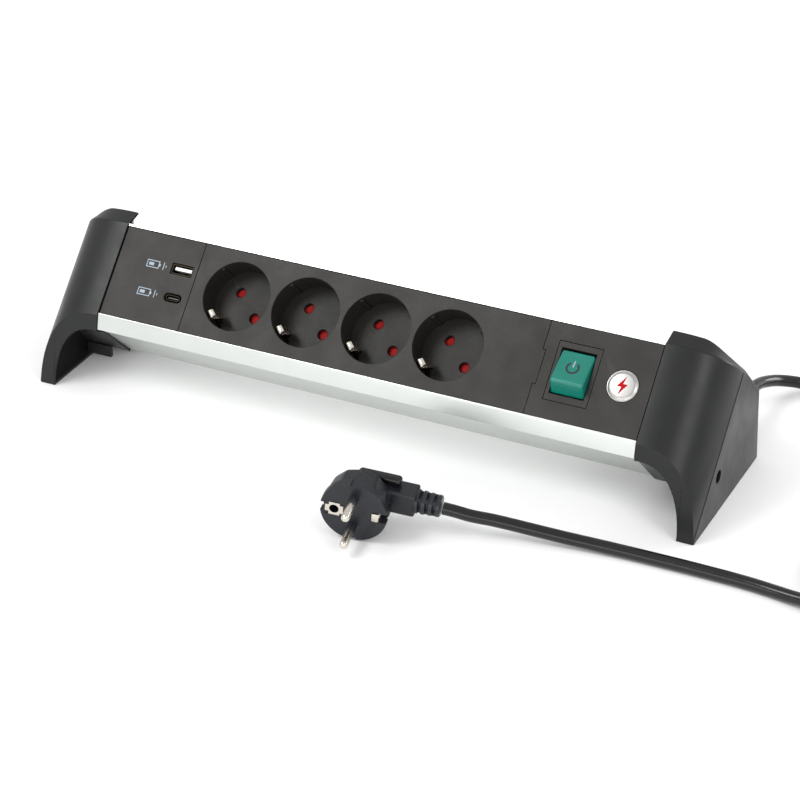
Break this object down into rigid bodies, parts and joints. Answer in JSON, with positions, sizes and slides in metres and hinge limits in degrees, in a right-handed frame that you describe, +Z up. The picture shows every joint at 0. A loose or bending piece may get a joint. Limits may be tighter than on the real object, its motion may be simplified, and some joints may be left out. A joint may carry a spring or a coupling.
{
  "type": "desk power strip",
  "caption": "Table power strip: a tilted aluminium channel on two black end-cap feet, with earthed sockets, a USB charger, a rocker switch and a mains cord with plug.",
  "frame": {"origin": "on the desk surface, under the middle of the strip without its cord", "axes": "+X along the bar towards the switch end, +Y to the rear, +Z up; the tilted face looks towards -Y and +Z"},
  "size_m": [0.5845, 0.2895, 0.096],
  "materials": {
    "aluminium": "satin anodised extrusion, fine lines along its length",
    "cap_plastic": "black satin moulded plastic with a fine spark-eroded grain",
    "face_plastic": "black matt moulded plastic, faintly warm, with a coarse grain",
    "inner_plastic": "dark grey glass-filled plastic",
    "rocker_green": "translucent teal green, glossy",
    "shutter_red": "red moulded plastic",
    "contact_brass": "plain stamped",
    "nickel": "nickel plated",
    "zinc_steel": "zinc plated",
    "cord_pvc": "black PVC sheath, slightly glossy",
    "plug_pvc": "black moulded PVC, faintly blue",
    "circuit_board": "green solder mask",
    "white_plastic": "white moulded plastic",
    "wire_brown": "PVC core insulation",
    "wire_blue": "PVC core insulation",
    "wire_yellow": "PVC core insulation and winding tape"
  },
  "bodies": {
    "housing": {"aluminium_profile": "aluminium", "badge_disc": "nickel", "coil_tie": "inner_plastic", "common_terminal_1": "contact_brass", "common_terminal_2": "contact_brass", "cord_clamp": "inner_plastic", "cord_coil": "cord_pvc", "cord_front_run": "cord_pvc", "cord_gland": "cap_plastic", "cord_inner_run": "cord_pvc", "cord_rear_run": "cord_pvc", "earth_busbar": "contact_brass", "earth_contact_1": "nickel", "earth_contact_2": "nickel", "earth_contact_3": "nickel", "earth_contact_4": "nickel", "indicator_lamp": "white_plastic", "left_cap_screw": "zinc_steel", "left_end_cap": "cap_plastic", "live_busbar": "contact_brass", "neutral_busbar": "contact_brass", "plug_body": "plug_pvc", "plug_earth_clip": "nickel", "plug_earth_plate": "nickel", "plug_grip": "cord_pvc", "plug_pin_1": "nickel", "plug_pin_2": "nickel", "right_cap_screw": "zinc_steel", "right_end_cap": "cap_plastic", "socket_base": "inner_plastic", "socket_base_lid": "inner_plastic", "socket_block_cover": "face_plastic", "strain_relief": "cord_pvc", "switch_bezel": "face_plastic", "switch_housing": "inner_plastic", "switch_module_cover": "face_plastic", "switched_terminal_1": "contact_brass", "switched_terminal_2": "contact_brass", "usb_a_shell": "nickel", "usb_a_tongue": "white_plastic", "usb_board": "circuit_board", "usb_c_shell": "nickel", "usb_c_tongue": "inner_plastic", "usb_module_cover": "face_plastic", "usb_transformer": "wire_yellow", "usb_tray": "inner_plastic", "wire_earth": "wire_yellow", "wire_live": "wire_brown", "wire_neutral": "wire_blue", "wire_switched_live": "wire_brown", "wire_switched_neutral": "wire_blue"},
    "rocker": {"rocker": "rocker_green", "switch_plunger_1": "white_plastic", "switch_plunger_2": "white_plastic"},
    "contact_levers": {"contact_lever_1": "contact_brass", "contact_lever_2": "contact_brass"},
    "shutter_1": {"shutter_1": "shutter_red"},
    "shutter_2": {"shutter_2": "shutter_red"},
    "shutter_3": {"shutter_3": "shutter_red"},
    "shutter_4": {"shutter_4": "shutter_red"}
  },
  "joints": [
    {"name": "rocker_tilt", "type": "hinge", "parent": "housing", "child": "rocker", "pos_m": [0.124, -0.02324, 0.07], "axis": [1, 0, 0], "range_deg": [0, 40]},
    {"name": "contact_tilt", "type": "hinge", "parent": "housing", "child": "contact_levers", "pos_m": [0.124, -0.01434, 0.06152], "axis": [1, 0, 0], "range_deg": [-16, 0]},
    {"name": "shutter_1_turn", "type": "hinge", "parent": "housing", "child": "shutter_1", "pos_m": [-0.0877, -0.01115, 0.05834], "axis": [0, 0.7242, -0.6896], "range_deg": [0, 35], "stiffness_Nm_per_rad": 0.002},
    {"name": "shutter_2_turn", "type": "hinge", "parent": "housing", "child": "shutter_2", "pos_m": [-0.04253, -0.01115, 0.05834], "axis": [0, 0.7242, -0.6896], "range_deg": [0, 35], "stiffness_Nm_per_rad": 0.002},
    {"name": "shutter_3_turn", "type": "hinge", "parent": "housing", "child": "shutter_3", "pos_m": [0.00264, -0.01115, 0.05834], "axis": [0, 0.7242, -0.6896], "range_deg": [0, 35], "stiffness_Nm_per_rad": 0.002},
    {"name": "shutter_4_turn", "type": "hinge", "parent": "housing", "child": "shutter_4", "pos_m": [0.04781, -0.01115, 0.05834], "axis": [0, 0.7242, -0.6896], "range_deg": [0, 35], "stiffness_Nm_per_rad": 0.002}
  ],
  "couplings": [
    {"joint": "contact_tilt", "follows": "rocker_tilt", "ratio": -0.4}
  ]
}
